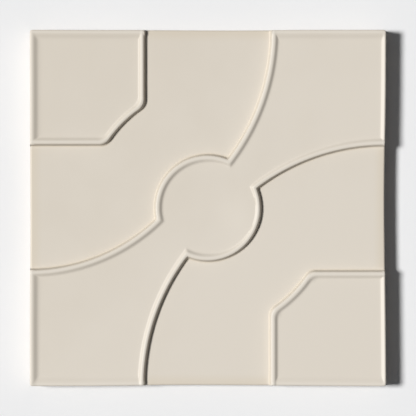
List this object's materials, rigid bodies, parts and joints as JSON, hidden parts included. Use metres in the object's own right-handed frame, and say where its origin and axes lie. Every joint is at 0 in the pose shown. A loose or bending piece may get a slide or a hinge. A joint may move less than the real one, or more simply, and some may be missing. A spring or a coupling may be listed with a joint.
{
  "type": "relief accent tile",
  "caption": "Square glazed ceramic accent tile with a raised ribbon and disc across it, raised clipped corner squares and a flat back.",
  "frame": {"origin": "middle of the tile's flat back face", "axes": "+Z out of the glazed relief face, +X to the right and +Y to the top of the picture, with the corner squares at top left and bottom right"},
  "size_m": [0.1524, 0.1524, 0.0114],
  "materials": {
    "relief_tile": "cream satin glaze over pale fired clay"
  },
  "bodies": {
    "root": {"relief_tile": "relief_tile"}
  },
  "joints": []
}
